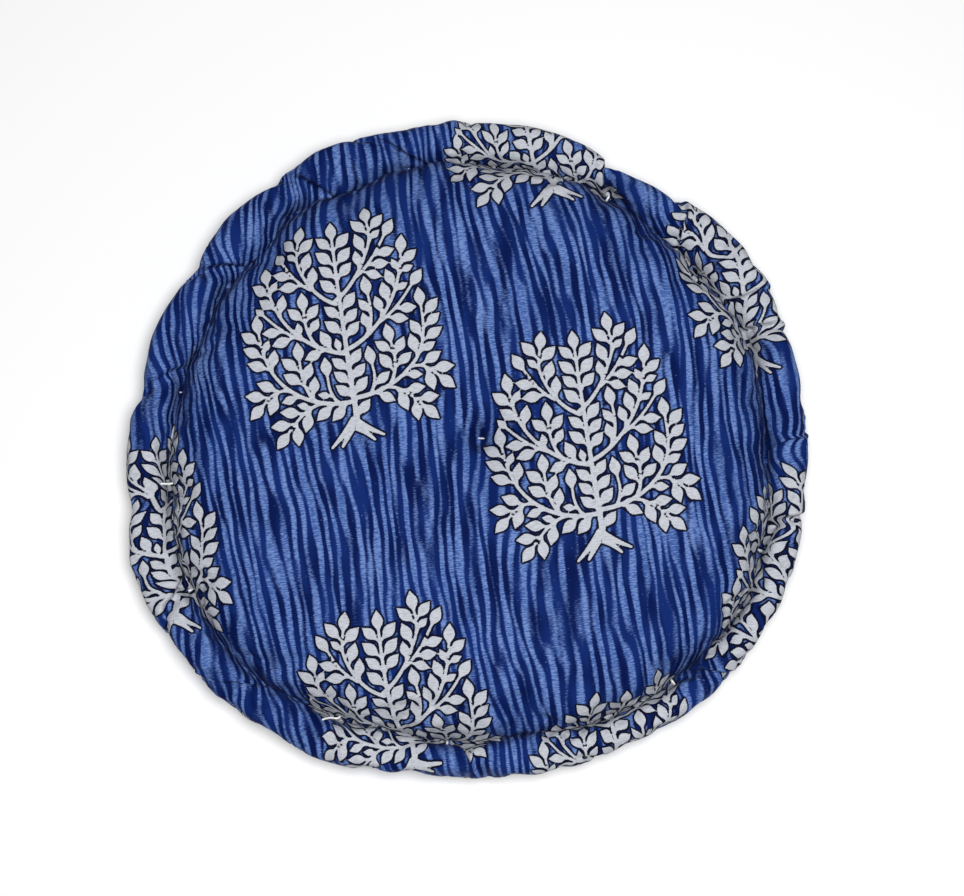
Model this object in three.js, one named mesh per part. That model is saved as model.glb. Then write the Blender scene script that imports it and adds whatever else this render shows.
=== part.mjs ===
// Round stool cushion. Two round cotton panels are sewn together at the edge and filled,
// and hand stitches set in from the edge pull the faces together into a channel and an edge roll.
// Millimetres, +Z up, the origin on the floor under the middle of the cushion.
import * as THREE from "three";

// Heights of the main forms, all measured from the floor
const CROWN_HEIGHT = 49;
const ROLL_HEIGHT = 35;
const ROLL_SINK = 1.5; // how far the round of the roll would reach below the floor if it weren't pressed flat
const CHANNEL_SHARE = 0.5; // height of the channel above the middle of the roll, as a share of half its height

// The shape of the crown: a higher power is flatter on top and steeper at the channel
const CROWN_POWER = 3.6;
const UNDERSIDE_POWER = 6;
const UNDERSIDE_PRESS = 1.6;

// The stitch through the middle of both faces
const TUFT = { x: 5.5, y: 1, depth: 12, width: 19, pinch: 5, pinchWidth: 6, below: 6, belowWidth: 13 };

// What one stitch does to the cloth around it
const PINCH_WIDTH = 9; // along the channel
const DENT_REACH = 17; // inwards over the crown
const ROLL_SHARE = 0.4; // how much of the pull the top of the roll follows

// The cotton filling isn't even: its lumps are a few soft waves
const LUMP_HEIGHT = 0.9;

// One row for each hand stitch, anticlockwise from +X. Radii are from the origin.
// angle: where the stitch is. channel and edge: radius of the channel and of the outer edge there.
// bow and bulge: how far the channel and the edge stand out halfway to the next stitch.
// pull: how far down the stitch pulls the channel. The row at 226 is slack cloth with no stitch.
const STITCHES = [
  { angle: 21, channel: 157, edge: 177, bow: -1, bulge: 1.4, pull: 7 },
  { angle: 38, channel: 152, edge: 177, bow: -2, bulge: -1, pull: 6 },
  { angle: 61, channel: 152, edge: 166.5, bow: 0, bulge: 2.4, pull: 9 },
  { angle: 84, channel: 150, edge: 170.5, bow: 0, bulge: 1.2, pull: 4 },
  { angle: 102, channel: 152.5, edge: 171.5, bow: -5, bulge: 3, pull: 6 },
  { angle: 126, channel: 154.5, edge: 172, bow: -5, bulge: 2.6, pull: 6 },
  { angle: 146, channel: 152.5, edge: 171.5, bow: -3, bulge: 1.2, pull: 6 },
  { angle: 169, channel: 153.5, edge: 173, bow: -1, bulge: 1, pull: 6 },
  { angle: 189, channel: 157.5, edge: 177, bow: -0.5, bulge: 2.8, pull: 9 },
  { angle: 207.5, channel: 162, edge: 184, bow: 1, bulge: 0, pull: 7 },
  { angle: 226, channel: 163, edge: 182, bow: -1, bulge: -1, pull: 2 },
  { angle: 244, channel: 157, edge: 179, bow: -3, bulge: -2, pull: 7 },
  { angle: 266, channel: 154.5, edge: 171.5, bow: -4, bulge: -0.5, pull: 9 },
  { angle: 297, channel: 158.5, edge: 175, bow: 0, bulge: 0, pull: 6 },
  { angle: 311, channel: 162, edge: 179, bow: -0.5, bulge: 1, pull: 8 },
  { angle: 328, channel: 165, edge: 180, bow: 0.5, bulge: 0.6, pull: 6 },
  { angle: 340.5, channel: 161.5, edge: 179.5, bow: 0, bulge: -1.6, pull: 7 },
  { angle: 357.5, channel: 156, edge: 177, bow: -2, bulge: -1.2, pull: 7 },
];

// One row for each fold that crosses the edge roll, from the channel to the outer edge
const FOLDS = [
  { from: 39, to: 45.5, depth: 2.6 },
  { from: 61, to: 65.5, depth: 4 },
  { from: 101, to: 112, depth: 3 },
  { from: 125, to: 132, depth: 3 },
  { from: 145, to: 149, depth: 3 },
  { from: 164, to: 171, depth: 2.4 },
  { from: 208, to: 212.5, depth: 1.8 },
  { from: 268, to: 273, depth: 2.2 },
  { from: 311, to: 318, depth: 3.4 },
  { from: 343, to: 349, depth: 3 },
];
const FOLD_WIDTH = 4.5;

// The grid of the surface
const STEPS_AROUND = 144;
const CROWN_RINGS = [0.05, 0.11, 0.2, 0.32, 0.45, 0.58, 0.7, 0.8, 0.88, 0.935, 0.97, 0.99];
const UNDERSIDE_RINGS = [0.985, 0.95, 0.88, 0.74, 0.55, 0.34, 0.2, 0.11, 0.05];
const ROLL_STEPS = 14;
const ROLL_START = THREE.MathUtils.degToRad(150); // the channel, seen from the middle of the roll

const bell = (distance, width) => Math.exp(-((distance / width) ** 2));

// Signed difference of two angles in degrees, from -180 to 180
const turn = (a, b) => THREE.MathUtils.euclideanModulo(a - b + 180, 360) - 180;

// A column of the stitch table at any angle: level at each stitch, bowed out between two of them
function around(angle, column, bowColumn) {
  const last = STITCHES.length - 1;
  let start = STITCHES.findLastIndex((row) => row.angle <= angle);
  if (start < 0) start = last;
  const row = STITCHES[start];
  const next = STITCHES[(start + 1) % STITCHES.length];
  const span = THREE.MathUtils.euclideanModulo(next.angle - row.angle, 360);
  const share = THREE.MathUtils.euclideanModulo(angle - row.angle, 360) / span;
  const level = THREE.MathUtils.lerp(row[column], next[column], THREE.MathUtils.smoothstep(share, 0, 1));
  return level + row[bowColumn] * Math.sin(Math.PI * share) ** 2;
}

// How far the stitches pull the channel down at this angle
function pullAt(angle, radius) {
  return STITCHES.reduce((sum, row) => {
    const along = THREE.MathUtils.degToRad(turn(angle, row.angle)) * radius;
    return sum + row.pull * bell(along, PINCH_WIDTH);
  }, 0);
}

// How deep the folds across the roll are, at a share of the way from the channel to the edge
function foldAt(angle, radius, share) {
  return FOLDS.reduce((sum, fold) => {
    const line = THREE.MathUtils.lerp(fold.from, fold.to, share);
    const along = THREE.MathUtils.degToRad(turn(angle, line)) * radius;
    return sum + fold.depth * bell(along, FOLD_WIDTH);
  }, 0);
}

// Everything that the rings need to know about one direction
function section(angle) {
  const channel = around(angle, "channel", "bow");
  const edge = around(angle, "edge", "bulge");
  const halfWidth = (edge - channel) / (1 - Math.cos(ROLL_START));
  const halfHeight = (ROLL_HEIGHT + ROLL_SINK) / 2;
  const middle = { radius: edge - halfWidth, height: halfHeight - ROLL_SINK };
  const pull = pullAt(angle, channel);
  const channelHeight = middle.height + halfHeight * CHANNEL_SHARE - pull;
  const underHeight = middle.height - halfHeight * CHANNEL_SHARE + pull * ROLL_SHARE;
  return { angle, channel, halfWidth, halfHeight, middle, pull, channelHeight, underHeight };
}

function point(angle, radius, height) {
  const turned = THREE.MathUtils.degToRad(angle);
  return new THREE.Vector3(radius * Math.cos(turned), radius * Math.sin(turned), Math.max(height, 0));
}

function tuftDistance(place) {
  return Math.hypot(place.x - TUFT.x, place.y - TUFT.y);
}

// Top face, at a share of the way from the middle to the channel
function crownPoint(cut, share) {
  const place = point(cut.angle, share * cut.channel, 0);
  const lumps = Math.sin(place.x / 31 + 1) * Math.sin(place.y / 27) + Math.sin((place.x - place.y) / 44);
  const rise = Math.sqrt(1 - share ** CROWN_POWER);
  const undented = cut.channelHeight + cut.pull;
  const dent = cut.pull * Math.exp(-((1 - share) * cut.channel) / DENT_REACH);
  const distance = tuftDistance(place);
  const tuft = TUFT.depth * bell(distance, TUFT.width) + TUFT.pinch * bell(distance, TUFT.pinchWidth);
  place.z = undented + (CROWN_HEIGHT - undented) * rise - dent - tuft + LUMP_HEIGHT * lumps * rise;
  return place;
}

// Edge roll, at a share of the way from the channel on top round the edge to the channel below
function rollPoint(cut, share) {
  const turned = ROLL_START * (1 - 2 * share);
  const across = Math.abs(turned) / ROLL_START;
  const fold = foldAt(cut.angle, cut.middle.radius, 1 - across) * Math.sin(Math.PI * share) ** 0.5;
  const squeeze = 1 - fold / cut.halfWidth;
  const upper = Math.max(Math.sin(turned), 0);
  const drop = cut.pull * (ROLL_SHARE + (1 - ROLL_SHARE) * across ** 6) * (turned > 0 ? upper : 0);
  const radius = cut.middle.radius + cut.halfWidth * Math.cos(turned) * squeeze;
  const height = cut.middle.height + cut.halfHeight * Math.sin(turned) * squeeze - drop;
  return point(cut.angle, radius, height);
}

// Bottom face, pressed flat on the floor but for its channel and the middle stitch
function undersidePoint(cut, share) {
  const press = UNDERSIDE_PRESS * Math.sqrt(1 - share ** UNDERSIDE_POWER);
  const place = point(cut.angle, share * cut.channel, cut.underHeight * (1 - press));
  const tuft = TUFT.below * bell(tuftDistance(place), TUFT.belowWidth) - 1;
  place.z = Math.max(place.z, tuft, 0);
  return place;
}

// The rings of one direction, from the middle of the top round to the middle of the underside
function ringsOf(cut) {
  const crown = CROWN_RINGS.map((share) => crownPoint(cut, share));
  const top = point(cut.angle, cut.channel, cut.channelHeight);
  const roll = [];
  for (let step = 1; step < ROLL_STEPS; step++) roll.push(rollPoint(cut, step / ROLL_STEPS));
  const below = point(cut.angle, cut.channel, cut.underHeight);
  const underside = UNDERSIDE_RINGS.map((share) => undersidePoint(cut, share));
  return [...crown, top, ...roll, below, ...underside];
}

// One closed surface: two middle points, and rings of quads between them
function cushionGeometry() {
  const cuts = [];
  for (let step = 0; step < STEPS_AROUND; step++) cuts.push(section((step * 360) / STEPS_AROUND));
  const columns = cuts.map(ringsOf);
  const rings = columns[0].length;
  const points = [crownPoint(cuts[0], 0), ...columns.flat(), undersidePoint(cuts[0], 0)];
  const bottom = points.length - 1;
  const at = (step, ring) => 1 + (step % STEPS_AROUND) * rings + ring;
  const faces = [];
  for (let step = 0; step < STEPS_AROUND; step++) {
    faces.push(0, at(step, 0), at(step + 1, 0));
    for (let ring = 0; ring < rings - 1; ring++) {
      const [a, b] = [at(step, ring), at(step + 1, ring)];
      const [c, d] = [at(step, ring + 1), at(step + 1, ring + 1)];
      faces.push(a, c, d, a, d, b);
    }
    faces.push(bottom, at(step + 1, rings - 1), at(step, rings - 1));
  }
  const geometry = new THREE.BufferGeometry().setFromPoints(points);
  geometry.setIndex(faces);
  centreOnOrigin(geometry);
  geometry.computeVertexNormals();
  return geometry;
}

// Puts the middle of the outline over the origin, without lifting the cushion off the floor
function centreOnOrigin(geometry) {
  geometry.computeBoundingBox();
  const middle = geometry.boundingBox.getCenter(new THREE.Vector3());
  geometry.translate(-middle.x, -middle.y, 0);
}

const printedCotton = new THREE.MeshStandardMaterial({ color: 0x2c4f96, roughness: 0.7, metalness: 0 });

const cushion = new THREE.Mesh(cushionGeometry(), printedCotton);
cushion.name = "cushion";

const part = new THREE.Group();
part.add(cushion);

export default part;
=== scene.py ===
# %% [markdown]
# # A hand stitched stool cushion
# The real cushion is two round panels of printed cotton, sewn together at the edge, turned and
# filled. Long hand stitches set in from the edge pull the two faces together, so the filling outside
# them becomes a fat roll and the cloth above them sinks into a channel. One more stitch pulls in the
# middle. This lesson builds the cover, its print and its threads around a plain solid that already
# has the true size and place. The cover keeps the solid's outline, with a flatter crown, a squarer
# roll and a deeper, narrower channel than the solid's coarse grid has.

# %% Load the plain solid
import math

import bpy
import numpy as np
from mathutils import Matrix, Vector
from mathutils.geometry import delaunay_2d_cdt


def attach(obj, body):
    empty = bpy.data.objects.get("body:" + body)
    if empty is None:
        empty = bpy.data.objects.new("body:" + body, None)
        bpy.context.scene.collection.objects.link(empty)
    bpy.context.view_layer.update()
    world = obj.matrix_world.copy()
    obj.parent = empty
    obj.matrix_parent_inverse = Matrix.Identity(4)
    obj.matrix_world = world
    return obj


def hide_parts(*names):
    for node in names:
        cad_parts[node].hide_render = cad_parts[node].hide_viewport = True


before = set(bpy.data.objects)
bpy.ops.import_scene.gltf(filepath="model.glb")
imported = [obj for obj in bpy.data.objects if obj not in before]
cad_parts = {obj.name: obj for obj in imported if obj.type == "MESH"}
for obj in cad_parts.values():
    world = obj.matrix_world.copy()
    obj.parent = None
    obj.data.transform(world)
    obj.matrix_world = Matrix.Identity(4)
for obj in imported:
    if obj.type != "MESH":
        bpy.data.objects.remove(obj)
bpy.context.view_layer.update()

# %% [markdown]
# The camera comes first, because everything after it is judged through it. The photograph looks
# almost straight down, a little from the front. Its picture is 964 by 896, and one of its pixels is
# 0.5224 mm at the cushion, so the lens follows from how far away the camera stands.

# %% Camera
MM = 0.001
PICTURE_WIDTH = 964
PIXEL = 0.5224 * MM
CAMERA_DISTANCE = 1.25
CAMERA_ELEVATION = math.radians(82)
CAMERA_AIM = Vector((7.3 * MM, -1.4 * MM, 20 * MM))


def add_camera():
    data = bpy.data.cameras.new("camera")
    data.sensor_width = 36.0
    data.lens = data.sensor_width * CAMERA_DISTANCE / (PICTURE_WIDTH * PIXEL)
    data.clip_start, data.clip_end = 0.05, 20.0
    camera = bpy.data.objects.new("camera", data)
    bpy.context.scene.collection.objects.link(camera)
    away = Vector((0, -math.cos(CAMERA_ELEVATION), math.sin(CAMERA_ELEVATION)))
    camera.location = CAMERA_AIM + away * CAMERA_DISTANCE
    camera.rotation_euler = (math.pi / 2 - CAMERA_ELEVATION, 0, 0)
    bpy.context.scene.camera = camera
    return camera


camera = add_camera()
print("lens in mm:", round(camera.data.lens, 1))

# %% [markdown]
# ## The stuffed form
# A real cushion's form is decided by where the hand stitches sit and how hard each one pulls. So the
# form could be sculpted, but here it is worked out from the same facts that the maker decides: one row
# for each stitch, going round from the right, and one row for each fold that crosses the edge roll.
# All sizes are in millimetres until a mesh is made.

# %% Sizes and tables
def table(columns, rows):
    """Rows whose cells can be asked for by the name of their column."""
    return [dict(zip(columns.split(), row)) for row in rows]


CROWN_HEIGHT = 49.0
ROLL_HEIGHT = 35.0
ROLL_SINK = 1.5
CHANNEL_SHARE = 0.12
UNDER_SHARE = 0.55
CROWN_POWER = 7.5
UNDERSIDE_POWER = 6.0
UNDERSIDE_PRESS = 1.6
TUFT = {"x": 5.5, "y": 1.0, "depth": 11.0, "width": 20.0, "pinch": 12.0, "pinch_width": 4.8,
        "below": 6.0, "below_width": 13.0}
PINCH_WIDTH = 8.0
DENT_REACH = 8.0
LUMP_HEIGHT = 0.9
LUMP_SIZES = (31, 27, 44)
ROLL_SHARE = 0.4
UNDER_PULL = 0.2

STITCHES = table("angle channel edge bow bulge pull open", [
    (   21,   157,   177,   -1,  1.4, 7, 0.3),
    (   38,   152,   177,   -2,   -1, 6, 0.6),
    (   61,   152, 166.5,    0,  2.4, 9, 0.4),
    (   84,   150, 170.5,    0,  1.2, 4, 0.4),
    (  102, 152.5, 171.5,   -5,    3, 6, 0.0),
    (  126, 154.5,   172,   -5,  2.6, 6, 0.4),
    (  146, 152.5, 171.5,   -3,  1.2, 6, 0.8),
    (  169, 153.5,   173,   -1,    1, 6, 1.0),
    (  189, 157.5,   177, -0.5,  2.8, 9, 0.6),
    (207.5,   162,   184,    1,    0, 7, 0.5),
    (  226,   163,   182,   -1,   -1, 2, 1.0),
    (  244,   157,   179,   -3,   -2, 7, 0.5),
    (  266, 154.5, 171.5,   -4, -0.5, 9, 0.2),
    (  297, 158.5,   175,    0,    0, 6, 0.0),
    (  311,   162,   179, -0.5,    1, 8, 0.3),
    (  328,   165,   180,  0.5,  0.6, 6, 0.2),
    (340.5, 161.5, 179.5,    0, -1.6, 7, 0.4),
    (357.5,   156,   177,   -2, -1.2, 7, 0.2),
])

# over says which side of a fold lies on top: 1 for the side further round, -1 for the side before it
FOLDS = table("from to depth over", [
    ( 359,   362, 2.9, -1),
    (  23,    20, 3.4,  1),
    (  29,    27, 2.9,  1),
    (  43,    50, 3.9, -1),
    (61.5,    66, 5.7,  1),
    (  98, 111.5, 4.9, -1),
    ( 118, 126.5, 4.7, -1),
    ( 141, 150.5, 4.7, -1),
    ( 164,   174, 2.3, -1),
    ( 205, 212.5, 4.2, -1),
    ( 231,   217, 2.3,  1),
    ( 268,   273, 2.6, -1),
    ( 313,   321, 4.4,  1),
    ( 345,   349, 4.4,  1),
])
print(len(STITCHES), "rows of stitches,", len(FOLDS), "folds across the roll")

# %% [markdown]
# Between two stitches the channel and the outer edge run in a soft curve. These helpers read the
# tables at any angle. They take whole arrays at once, which keeps a fine surface quick to make.

# %% Reading the tables
def bell(distance, width):
    return np.exp(-((distance / width) ** 2))


def turn(a, b):
    """Signed difference of two angles in degrees."""
    return (a - b + 180) % 360 - 180


def column(name):
    return np.array([row[name] for row in STITCHES], float)


def around(angles, name, middle_name=None):
    """A column of the stitch table at any angle: level at each stitch, bowed between two."""
    starts = column("angle")
    here = (np.searchsorted(starts, angles % 360, side="right") - 1) % len(starts)
    following = (here + 1) % len(starts)
    span = (starts[following] - starts[here]) % 360
    share = ((angles - starts[here]) % 360) / span
    smooth = share**2 * (3 - 2 * share)
    values = column(name)
    level = values[here] + (values[following] - values[here]) * smooth
    if middle_name is None:
        return level
    return level + column(middle_name)[here] * np.sin(np.pi * share) ** 2


def pull_at(angles, radius):
    along = np.radians(turn(angles[:, None], column("angle"))) * radius[:, None]
    return (column("pull") * bell(along, PINCH_WIDTH)).sum(1)


def waves(angles, strength, counts, seed):
    """A sum of soft waves around the cushion, because hands and cotton are never even."""
    chance = np.random.default_rng(seed)
    total = np.zeros_like(angles)
    for count in counts:
        total += np.sin(np.radians(angles) * count + chance.uniform(0, 2 * np.pi)) / len(counts) ** 0.5
    return strength * total


# %% [markdown]
# One direction out from the middle is a section: up the crown, down into the channel, over and round
# the roll, and back along the underside. Where a hard stitch is near, crown and roll meet in a thin
# dark line: there the round of the roll starts 170 degrees from its outer point. Where the
# cloth is slack the channel is an open valley, with a softer shoulder and a roll that leans outwards.

# %% The sections
ROLL_START_TIGHT, ROLL_START_OPEN = 170, 158
ROLL_LEAN_TIGHT, ROLL_LEAN_OPEN = 0.14, 0.26
SHOULDER_TIGHT, SHOULDER_OPEN = 0.46, 0.52
ROLL_BOXY = 0.76
FOLD_STEP = 0.5
FOLD_UNDER = 6.0
FOLD_OVER = 5.0
FOLD_LIP = 0.3


def boxy(wave):
    """A sine or cosine made blunter, so that the roll is flatter on top than a true round."""
    return np.sign(wave) * np.abs(wave) ** ROLL_BOXY


def make_sections(angles):
    channel = around(angles, "channel", "bow")
    edge = around(angles, "edge", "bulge") + waves(angles, 0.35, (23, 31, 44, 57), 3)
    openness = around(angles, "open")
    start = np.radians(ROLL_START_TIGHT + (ROLL_START_OPEN - ROLL_START_TIGHT) * openness)
    half_width = (edge - channel) / (1 - boxy(np.cos(start)))
    height = ROLL_HEIGHT + waves(angles, 0.8, (7, 11, 17, 26), 5)
    half_height = (height + ROLL_SINK) / 2
    pull = pull_at(angles, channel)
    middle_height = half_height - ROLL_SINK
    return {
        "angles": angles, "channel": channel, "half_width": half_width, "half_height": half_height,
        "start": start, "lean": ROLL_LEAN_TIGHT + (ROLL_LEAN_OPEN - ROLL_LEAN_TIGHT) * openness,
        "shoulder": SHOULDER_TIGHT + (SHOULDER_OPEN - SHOULDER_TIGHT) * openness,
        "middle_radius": edge - half_width, "middle_height": middle_height, "pull": pull,
        "channel_height": middle_height + half_height * CHANNEL_SHARE - pull,
        "under_height": middle_height - half_height * UNDER_SHARE + pull * UNDER_PULL,
    }


def fold_depth(angles, radius, share):
    """Folds are lapped: one side is raised over the other, with a sharp step between the two."""
    total = np.zeros(np.broadcast(angles, share).shape)
    for fold in FOLDS:
        line = fold["from"] + (fold["to"] - fold["from"]) * share
        along = np.radians(turn(angles, line)) * radius * fold["over"]
        on_top = 0.5 + 0.5 * np.tanh(along / FOLD_STEP)
        under = (1 - on_top) * np.exp(-np.abs(along) / FOLD_UNDER)
        total += fold["depth"] * (under - FOLD_LIP * on_top * np.exp(-np.abs(along) / FOLD_OVER))
    return total


def placed(angles, radius, height):
    turned = np.radians(angles)
    return np.stack([radius * np.cos(turned), radius * np.sin(turned), height], -1)


def tuft_distance(x, y):
    return np.hypot(x - TUFT["x"], y - TUFT["y"])


def crown(cut, share, tufted=1.0):
    """Top face, share 0 in the middle and 1 in the channel."""
    part = {key: value[:, None] for key, value in cut.items()}
    radius = part["channel"] * share
    place = placed(part["angles"], radius, 0 * radius)
    x, y = place[..., 0], place[..., 1]
    wide, long, slanting = LUMP_SIZES
    lumps = np.sin(x / wide + 1) * np.sin(y / long) + np.sin((x - y) / slanting)
    rise = np.clip(1 - share**CROWN_POWER, 0, 1) ** part["shoulder"]
    rest = part["channel_height"] + part["pull"]
    dent = part["pull"] * np.exp(-(part["channel"] - radius) / DENT_REACH)
    distance = tuft_distance(x, y)
    tuft = TUFT["depth"] * bell(distance, TUFT["width"])
    tuft = tuft + TUFT["pinch"] * bell(distance, TUFT["pinch_width"])
    lump = LUMP_HEIGHT * lumps * rise
    place[..., 2] = rest + (CROWN_HEIGHT - rest) * rise - dent - tufted * tuft + lump
    return place


def roll(cut, share):
    """Edge roll, share 0 in the channel on top, 0.5 at the seam and 1 in the channel below."""
    part = {key: value[:, None] for key, value in cut.items()}
    turned = part["start"] * (1 - 2 * share)
    across = np.abs(turned) / part["start"]
    # A fold is deepest on the upper side of the roll, and nearly gone where it reaches the seam
    strength = np.minimum(across, (1 - across) * 8) * np.where(share < 0.5, 1.35, 0.4) + 0.25 * (1 - across)
    fold = fold_depth(part["angles"], part["middle_radius"], 1 - across) * strength
    squeeze = 1 - fold / part["half_width"]
    drop = part["pull"] * (ROLL_SHARE + (1 - ROLL_SHARE) * across**6) * np.maximum(np.sin(turned), 0)
    # The channel itself keeps the height that the crown reaches it at
    start = part["middle_height"] + part["half_height"] * boxy(np.sin(part["start"]))
    blend = np.clip((across - 0.75) / 0.25, 0, 1) ** 2
    lift = np.where(share < 0.5, part["channel_height"] - start + part["pull"] * np.sin(part["start"]),
                    part["under_height"] - (2 * part["middle_height"] - start)) * blend
    outwards = boxy(np.cos(turned)) + part["lean"] * np.maximum(np.sin(turned), 0) ** 2
    radius = part["middle_radius"] + part["half_width"] * outwards * squeeze
    height = part["middle_height"] + part["half_height"] * boxy(np.sin(turned)) * squeeze - drop + lift
    return placed(part["angles"], radius, np.maximum(height, 0))


def underside(cut, share):
    part = {key: value[:, None] for key, value in cut.items()}
    press = UNDERSIDE_PRESS * np.sqrt(np.clip(1 - share**UNDERSIDE_POWER, 0, 1))
    radius = part["channel"] * share
    place = placed(part["angles"], radius, part["under_height"] * (1 - press))
    tuft = TUFT["below"] * bell(tuft_distance(place[..., 0], place[..., 1]), TUFT["below_width"]) - 1
    place[..., 2] = np.maximum(np.maximum(place[..., 2], tuft), 0)
    return place


# %% [markdown]
# The print is stamped on flat cloth before the cushion is sewn. So each face is kept as a sheet: a grid
# whose rows are angles and whose columns are distances along the cloth, from the middle out to the
# seam. The distance is measured over the surface, down into the channel and up over the roll, and that
# is what makes the printed trees dip out of sight in the channel as they do on the real cover.

# %% Sheets measured along the cloth
ANGLE_STEPS = 1440
CLOTH_STEPS = 257
ANGLES = np.arange(ANGLE_STEPS) * 360 / ANGLE_STEPS
CUT = make_sections(ANGLES)
CROWN_SHARES = 1 - np.linspace(1, 0, 160) ** 2.2
ROLL_STEPS = np.linspace(0, 1, 90)[1:]
# The seam runs along the middle of the roll, but at the lower left the roll is twisted up a little
SEAM_SHARE = 0.5 - 0.085 * bell(turn(ANGLES, 229), 17) + waves(ANGLES, 0.004, (9, 14, 22), 13)


def lay_out(inner, outer, ruler):
    """Joins the two stretches of one face, and measures each direction of the cloth on the ruler."""
    steps = np.linalg.norm(np.diff(np.concatenate([ruler, outer], 1), axis=1), axis=2)
    length = np.concatenate([np.zeros((len(steps), 1)), np.cumsum(steps, 1)], 1)
    return np.concatenate([inner, outer], 1), length


# The middle stitch only stretches the cloth a little, so the ruler is the crown without it
untufted = crown(CUT, CROWN_SHARES, tufted=0.0)
top_roll = roll(CUT, SEAM_SHARE[:, None] * ROLL_STEPS)
top_place, top_length = lay_out(crown(CUT, CROWN_SHARES), top_roll, untufted)
low_inner = underside(CUT, CROWN_SHARES)
low_roll = roll(CUT, 1 - (1 - SEAM_SHARE[:, None]) * ROLL_STEPS)
low_place, low_length = lay_out(low_inner, low_roll, low_inner)
PANEL_RADIUS = float(top_length[:, -1].mean())
IN_CHANNEL = len(CROWN_SHARES) - 1


def on_cloth(length):
    """Distance along the flat cloth: true inside the channel, and eased on the roll to end at the seam."""
    length = length * PANEL_RADIUS / length[:, -1].mean()
    channel = length[:, IN_CHANNEL, None]
    ease = (PANEL_RADIUS - channel) / (length[:, -1:] - channel)
    return np.where(length > channel, channel + (length - channel) * ease, length)


def even_out(place, cloth):
    """The same surface, read at even distances along the cloth."""
    goal = np.linspace(0, PANEL_RADIUS, CLOTH_STEPS)
    result = np.empty((len(place), CLOTH_STEPS, 3))
    for row in range(len(place)):
        for axis in range(3):
            result[row, :, axis] = np.interp(goal, cloth[row], place[row, :, axis])
    return result


top_cloth, low_cloth = on_cloth(top_length), on_cloth(low_length)
top_sheet = even_out(top_place, top_cloth)
low_sheet = even_out(low_place, low_cloth)
channel_reach, low_reach = top_cloth[:, IN_CHANNEL], low_cloth[:, IN_CHANNEL]
print("each panel was cut", round(2 * PANEL_RADIUS), "mm across; the channel takes",
      round(float(channel_reach.mean())), "mm of it from the middle")

# %% [markdown]
# ## Letting the filling swell the cover
# Functions alone look moulded. Cotton pushes outwards, and the cloth answers with soft swellings
# between the stitches and small wrinkles where there is too much of it. Blender's cloth simulation
# does that: pressure from inside, the stitches and the resting face held still, and no gravity. The
# cloth is made slightly too large, so that it has something to wrinkle with. What is kept is only how
# far each point moved, faded out at the stitches and capped, and it is added to the fine sheets, so
# the sharp channel stays sharp.

# %% Cloth simulation
SWELL_ANGLES = 240
SWELL_STEPS = 65
SWELL_FRAMES = 20
SWELL_PRESSURE = 4.0
SWELL_SLACK = 0.035
SWELL_CAP = 1.8
SEAM_HOLD = 0.3
HOLD_WIDTH = 5.0
TUFT_HOLD_WIDTH = 14.0
RESTING = 0.6


def coarse(sheet):
    rows = np.arange(SWELL_ANGLES) * ANGLE_STEPS // SWELL_ANGLES
    columns = np.linspace(0, CLOTH_STEPS - 1, SWELL_STEPS).round().astype(int)
    return sheet[rows][:, columns]


def case_mesh(top, low):
    """One closed bag: the two sheets share their seam and each has one middle point."""
    ring = SWELL_ANGLES
    points = [top[0, 0], low[0, 0]]
    points += [top[row, step] for step in range(1, SWELL_STEPS) for row in range(ring)]
    points += [low[row, step] for step in range(1, SWELL_STEPS - 1) for row in range(ring)]
    top_start = 2
    low_start = 2 + ring * (SWELL_STEPS - 1)

    def at(side, row, step):
        row %= ring
        if step == 0:
            return side
        if side == 0 or step == SWELL_STEPS - 1:
            return top_start + (step - 1) * ring + row
        return low_start + (step - 1) * ring + row

    faces = []
    for side in (0, 1):
        for row in range(ring):
            first = [at(side, row, 0), at(side, row, 1), at(side, row + 1, 1)]
            faces.append(first if side == 0 else first[::-1])
            for step in range(1, SWELL_STEPS - 1):
                quad = [at(side, row, step), at(side, row, step + 1),
                        at(side, row + 1, step + 1), at(side, row + 1, step)]
                faces.append(quad if side == 0 else quad[::-1])
    return np.array(points), faces


def hold_weights(points):
    """1 where stitches or the floor hold the cloth, falling off to 0 where it is free."""
    radius = np.hypot(points[:, 0], points[:, 1])
    angles = np.degrees(np.arctan2(points[:, 1], points[:, 0])) % 360
    channel = around(angles, "channel", "bow")
    stitch = np.clip(pull_at(angles, channel) / column("pull").mean(), 0, 1)
    in_channel = bell(radius - channel, HOLD_WIDTH) * (0.35 + 0.65 * stitch)
    at_seam = SEAM_HOLD * (radius > channel) * bell(points[:, 2] - 0.5 * ROLL_HEIGHT, HOLD_WIDTH)
    in_tuft = bell(tuft_distance(points[:, 0], points[:, 1]), TUFT_HOLD_WIDTH)
    on_floor = (points[:, 2] < RESTING).astype(float)
    return np.clip(np.maximum.reduce([in_channel, at_seam, in_tuft, on_floor]), 0, 1)


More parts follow.
